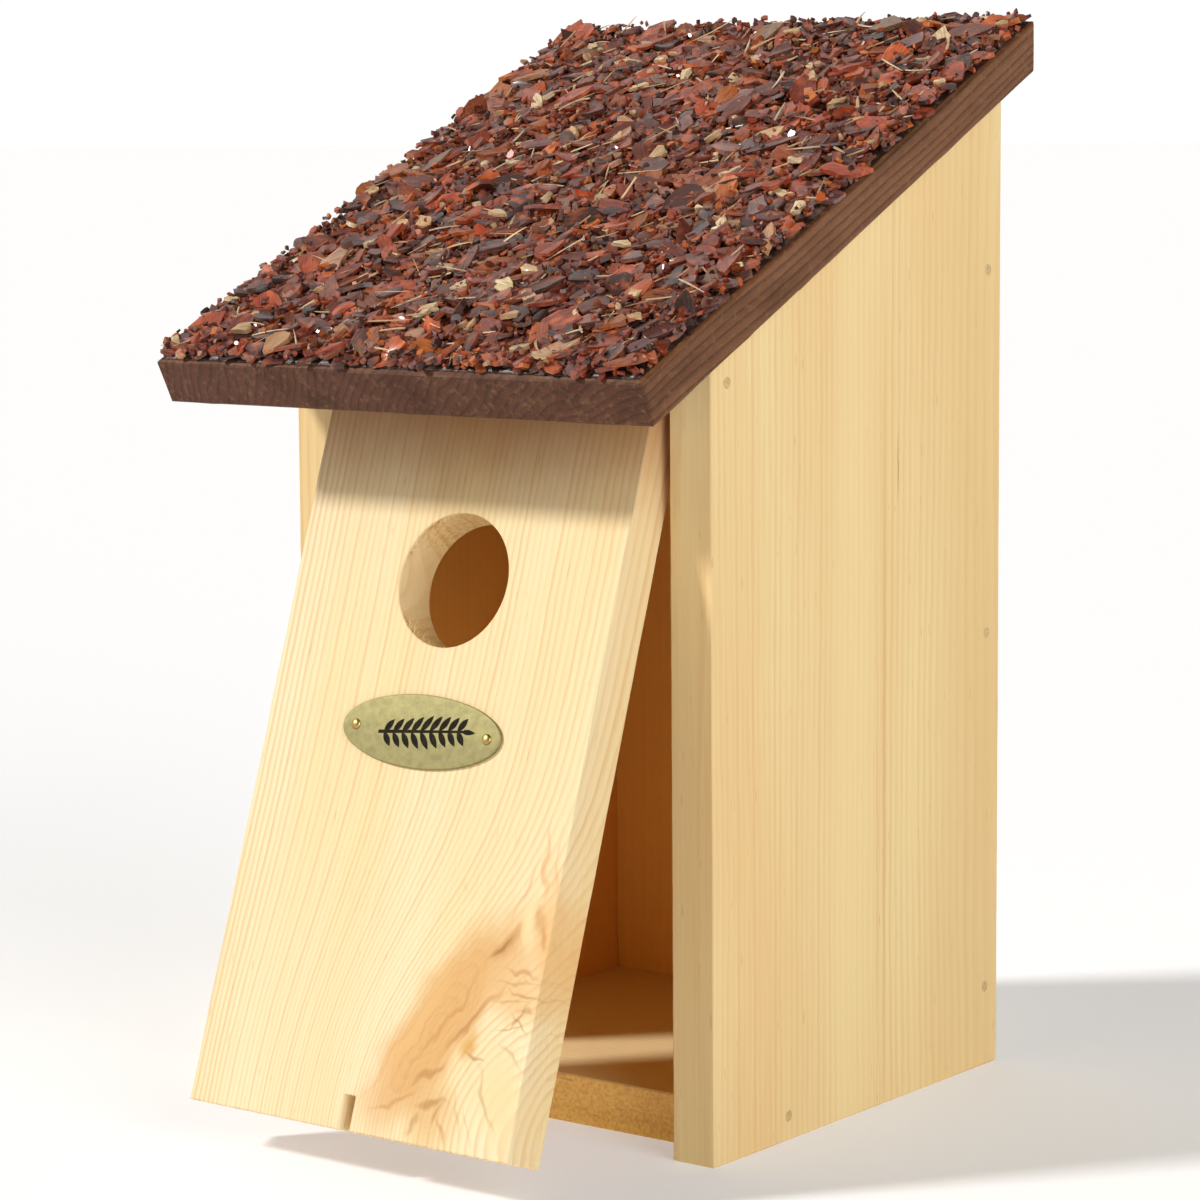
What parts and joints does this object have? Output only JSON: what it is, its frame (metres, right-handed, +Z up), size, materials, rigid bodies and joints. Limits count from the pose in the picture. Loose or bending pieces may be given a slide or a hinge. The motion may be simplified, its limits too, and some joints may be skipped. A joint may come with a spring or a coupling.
{
  "type": "wooden nest box",
  "caption": "Wooden nest box with a sloping bark-covered roof, a round entrance hole and a front that swings out about two nails for cleaning.",
  "frame": {"origin": "centre of the footprint of the closed box, on the ground, midway between the sides and midway between their front edges and the back", "axes": "+Z up; the front with the entrance hole faces -Y; +X is to the right of somebody looking at the front"},
  "size_m": [0.144, 0.1822, 0.2666],
  "materials": {
    "pine": "sanded, untreated",
    "stained_wood": "dark stain, satin",
    "glued_bark": "bark chips in clear glue, glossy",
    "plate_brass": "satin",
    "nail_steel": "plain",
    "hook_steel": "yellow zinc",
    "zinc_plate": "zinc plated"
  },
  "bodies": {
    "house": {"back_nail_left_lower": "nail_steel", "back_nail_left_middle": "nail_steel", "back_nail_left_upper": "nail_steel", "back_nail_right_lower": "nail_steel", "back_nail_right_middle": "nail_steel", "back_nail_right_upper": "nail_steel", "back_panel": "pine", "bark_layer": "glued_bark", "floor_board": "pine", "floor_nail_left": "nail_steel", "floor_nail_right": "nail_steel", "hanger_plate": "zinc_plate", "hanger_screw_left": "nail_steel", "hanger_screw_right": "nail_steel", "left_side": "pine", "pivot_nail_left": "nail_steel", "pivot_nail_right": "nail_steel", "rear_nail_left": "nail_steel", "rear_nail_right": "nail_steel", "right_side": "pine", "roof_board": "stained_wood", "roof_nail_left_front": "nail_steel", "roof_nail_left_middle": "nail_steel", "roof_nail_left_rear": "nail_steel", "roof_nail_right_front": "nail_steel", "roof_nail_right_middle": "nail_steel", "roof_nail_right_rear": "nail_steel"},
    "front": {"front_panel": "pine", "nameplate": "plate_brass", "nameplate_pin_left": "plate_brass", "nameplate_pin_right": "plate_brass"},
    "latch": {"latch_hook": "hook_steel"}
  },
  "joints": [
    {"name": "front_swing", "type": "hinge", "parent": "house", "child": "front", "pos_m": [0, -0.056, 0.181], "axis": [-1, 0, 0], "range_deg": [-18.9, 50.1]},
    {"name": "latch_turn", "type": "hinge", "parent": "house", "child": "latch", "pos_m": [0, -0.0497, 0.0064], "axis": [0, 1, 0], "range_deg": [-90, 90]}
  ]
}
